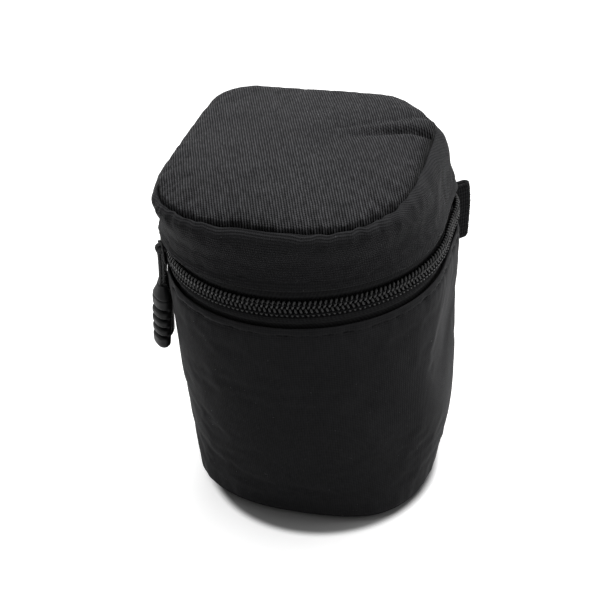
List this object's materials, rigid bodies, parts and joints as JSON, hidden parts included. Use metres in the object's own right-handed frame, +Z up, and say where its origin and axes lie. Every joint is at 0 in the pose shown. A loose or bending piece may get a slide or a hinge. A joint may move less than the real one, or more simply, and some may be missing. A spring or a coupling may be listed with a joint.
{
  "type": "soft camera bag",
  "caption": "Padded pouch for a small camera, with a round front, a flat back, a zipped lid hinged at the back, moulded zip pulls and webbing side tabs.",
  "frame": {"origin": "on the floor under the body, on the axis of the half-round front", "axes": "+Z up, -Y towards the round front, +X to the right seen from the front"},
  "size_m": [0.1161, 0.1022, 0.148],
  "materials": {
    "outer_fabric": "coarse woven nylon, near black, faint sheen",
    "foam_padding": "closed-cell foam padding",
    "lining": "fine woven lining, black",
    "woven_tape": "herringbone woven tape, black",
    "webbing": "ribbed webbing, black",
    "zip_coil": "extruded nylon coil, half gloss",
    "slider_metal": "black painted zinc",
    "pull_cord": "braided cord, black",
    "pull_grip": "moulded soft plastic, black"
  },
  "bodies": {
    "body": {"front_side_panel": "outer_fabric", "back_panel": "outer_fabric", "base_panel": "outer_fabric", "base_foam": "foam_padding", "side_foam": "foam_padding", "back_foam": "foam_padding", "base_lining": "lining", "side_lining": "lining", "back_lining": "lining", "base_binding": "woven_tape", "hinge_panel": "outer_fabric", "left_tab": "webbing", "right_tab": "webbing", "zip_tape_lower": "woven_tape", "zip_coil_lower": "zip_coil"},
    "lid": {"lid_side_band": "outer_fabric", "lid_top_panel": "outer_fabric", "lid_band_foam": "foam_padding", "lid_top_foam": "foam_padding", "lid_band_lining": "lining", "lid_top_lining": "lining", "lid_binding": "woven_tape", "zip_tape_upper": "woven_tape", "zip_coil_upper": "zip_coil"},
    "front_slider": {"front_slider": "slider_metal"},
    "front_pull": {"front_pull_cord": "pull_cord", "front_pull_grip": "pull_grip"},
    "rear_slider": {"rear_slider": "slider_metal"},
    "rear_pull": {"rear_pull_cord": "pull_cord", "rear_pull_grip": "pull_grip"}
  },
  "joints": [
    {"name": "lid_hinge", "type": "hinge", "parent": "body", "child": "lid", "pos_m": [0, 0.044, 0.108], "axis": [-1, 0, 0], "range_deg": [0, 150], "deforming": ["hinge_panel", "zip_tape_upper", "zip_coil_upper"]},
    {"name": "front_slider_travel", "type": "hinge", "parent": "body", "child": "front_slider", "pos_m": [0, 0, 0.108], "axis": [0, 0, 1], "range_deg": [0, 150], "deforming": ["zip_coil_lower"]},
    {"name": "front_pull_swing", "type": "hinge", "parent": "front_slider", "child": "front_pull", "pos_m": [-0.05196, -0.02357, 0.108], "axis": [-0.4131, 0.9107, 0], "range_deg": [0, 130]},
    {"name": "rear_slider_travel", "type": "slide", "parent": "body", "child": "rear_slider", "axis": [-0.0328, 0.9995, 0], "range_m": [0, 0.0225], "deforming": ["zip_tape_lower"]},
    {"name": "rear_pull_swing", "type": "hinge", "parent": "rear_slider", "child": "rear_pull", "pos_m": [-0.05628, -0.00932, 0.108], "axis": [-0.1633, 0.9866, 0], "range_deg": [0, 130]}
  ]
}
